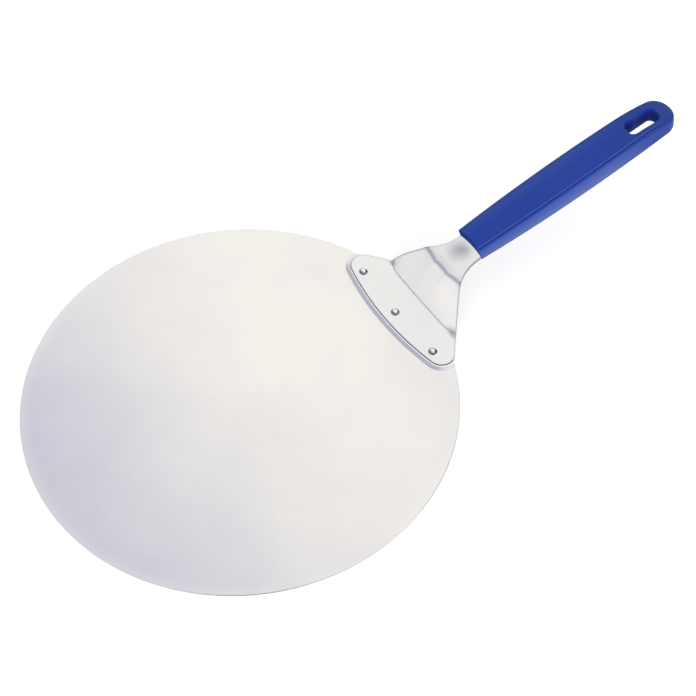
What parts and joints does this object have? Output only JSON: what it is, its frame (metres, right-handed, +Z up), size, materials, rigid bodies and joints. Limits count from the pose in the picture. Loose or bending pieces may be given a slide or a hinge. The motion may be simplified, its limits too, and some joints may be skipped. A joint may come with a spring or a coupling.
{
  "type": "round pizza peel",
  "caption": "Round pizza peel: flat steel disc blade, pressed bracket riveted to its rim and bent up into a tang, blue moulded handle with a hanging slot.",
  "frame": {"origin": "middle of the round blade's underside, on the surface that the peel lies on", "axes": "+X along the peel from the blade's middle towards the handle's tip, +Z up, square to the blade"},
  "size_m": [0.5287, 0.305, 0.0745],
  "materials": {
    "blade_steel": "fine satin, almost white, with faint straight brushing",
    "bracket_steel": "smooth rolled sheet, satin, a little glossier than the blade",
    "rivet_steel": "polished domed heads",
    "handle_plastic": "deep blue moulded plastic with a soft sheen"
  },
  "bodies": {
    "root": {"blade": "blade_steel", "bracket": "bracket_steel", "rivets": "rivet_steel", "handle": "handle_plastic"}
  },
  "joints": []
}
